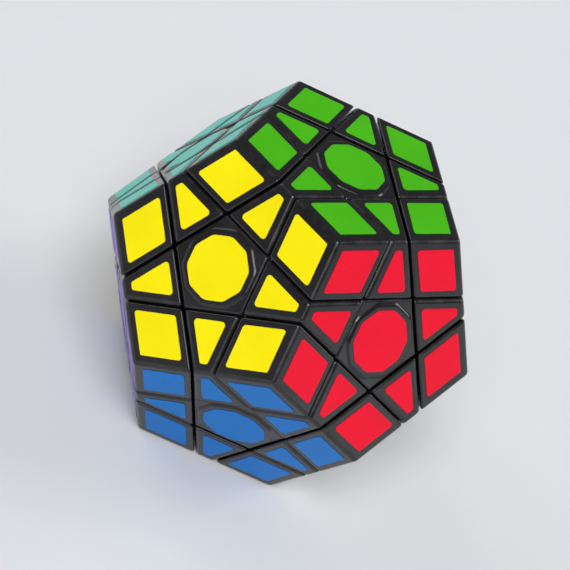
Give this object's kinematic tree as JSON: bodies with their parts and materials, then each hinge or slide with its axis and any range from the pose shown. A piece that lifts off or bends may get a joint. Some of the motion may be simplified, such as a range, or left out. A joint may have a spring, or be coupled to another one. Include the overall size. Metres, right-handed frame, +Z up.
{
  "type": "dodecahedron twisty puzzle",
  "caption": "Twelve-sided twisty puzzle in black plastic with coloured stickers; its faces turn about a spring-loaded core.",
  "frame": {"origin": "middle of the bottom face, on the surface the puzzle stands on; the core's centre is 35 mm above it", "axes": "+Z up through the top face, -Y towards the front face, +X to the right of the front face"},
  "size_m": [0.0822, 0.0866, 0.07],
  "materials": {
    "black_plastic": "moulded black plastic, satin with a slight shine",
    "screw_steel": "zinc-plated steel",
    "sticker_green": "smooth coloured vinyl sticker",
    "sticker_yellow": "smooth coloured vinyl sticker",
    "sticker_red": "smooth coloured vinyl sticker",
    "sticker_blue": "smooth coloured vinyl sticker",
    "sticker_turquoise": "smooth coloured vinyl sticker",
    "sticker_lavender": "smooth coloured vinyl sticker",
    "sticker_orange": "smooth coloured vinyl sticker",
    "sticker_pink": "smooth coloured vinyl sticker",
    "sticker_white": "smooth coloured vinyl sticker",
    "sticker_dark_green": "smooth coloured vinyl sticker",
    "sticker_cream": "smooth coloured vinyl sticker",
    "sticker_grey": "smooth coloured vinyl sticker"
  },
  "bodies": {
    "core": {"core_with_fixed_centres": "black_plastic", "front_screw": "screw_steel", "rear_right_screw": "screw_steel", "bottom_screw": "screw_steel", "fixed_edge_1": "black_plastic", "fixed_edge_2": "black_plastic", "fixed_edge_3": "black_plastic", "fixed_edge_4": "black_plastic", "fixed_edge_5": "black_plastic", "fixed_edge_6": "black_plastic", "fixed_edge_7": "black_plastic", "fixed_edge_8": "black_plastic", "fixed_edge_9": "black_plastic", "fixed_edge_10": "black_plastic", "fixed_edge_11": "black_plastic", "fixed_edge_12": "black_plastic", "fixed_edge_13": "black_plastic", "fixed_edge_14": "black_plastic", "fixed_edge_15": "black_plastic", "fixed_corner_1": "black_plastic", "fixed_corner_2": "black_plastic", "fixed_corner_3": "black_plastic", "fixed_corner_4": "black_plastic", "fixed_corner_5": "black_plastic"},
    "front_face": {"front_centre": "black_plastic", "front_cap": "black_plastic", "front_edge_1": "black_plastic", "front_edge_2": "black_plastic", "front_edge_3": "black_plastic", "front_edge_4": "black_plastic", "front_edge_5": "black_plastic", "front_corner_1": "black_plastic", "front_corner_2": "black_plastic", "front_corner_3": "black_plastic", "front_corner_4": "black_plastic", "front_corner_5": "black_plastic"},
    "rear_right_face": {"rear_right_centre": "black_plastic", "rear_right_cap": "black_plastic", "rear_right_edge_1": "black_plastic", "rear_right_edge_2": "black_plastic", "rear_right_edge_3": "black_plastic", "rear_right_edge_4": "black_plastic", "rear_right_edge_5": "black_plastic", "rear_right_corner_1": "black_plastic", "rear_right_corner_2": "black_plastic", "rear_right_corner_3": "black_plastic", "rear_right_corner_4": "black_plastic", "rear_right_corner_5": "black_plastic"},
    "bottom_face": {"bottom_centre": "black_plastic", "bottom_cap": "black_plastic", "bottom_edge_1": "black_plastic", "bottom_edge_2": "black_plastic", "bottom_edge_3": "black_plastic", "bottom_edge_4": "black_plastic", "bottom_edge_5": "black_plastic", "bottom_corner_1": "black_plastic", "bottom_corner_2": "black_plastic", "bottom_corner_3": "black_plastic", "bottom_corner_4": "black_plastic", "bottom_corner_5": "black_plastic"}
  },
  "joints": [
    {"name": "front_turn", "type": "hinge", "parent": "core", "child": "front_face", "pos_m": [0, 0, 0.035], "axis": [0, -0.8944, 0.4472], "continuous": true},
    {"name": "rear_right_turn", "type": "hinge", "parent": "core", "child": "rear_right_face", "pos_m": [0, 0, 0.035], "axis": [0.5257, 0.7236, 0.4472], "continuous": true},
    {"name": "bottom_turn", "type": "hinge", "parent": "core", "child": "bottom_face", "pos_m": [0, 0, 0.035], "axis": [0, 0, -1], "continuous": true}
  ]
}
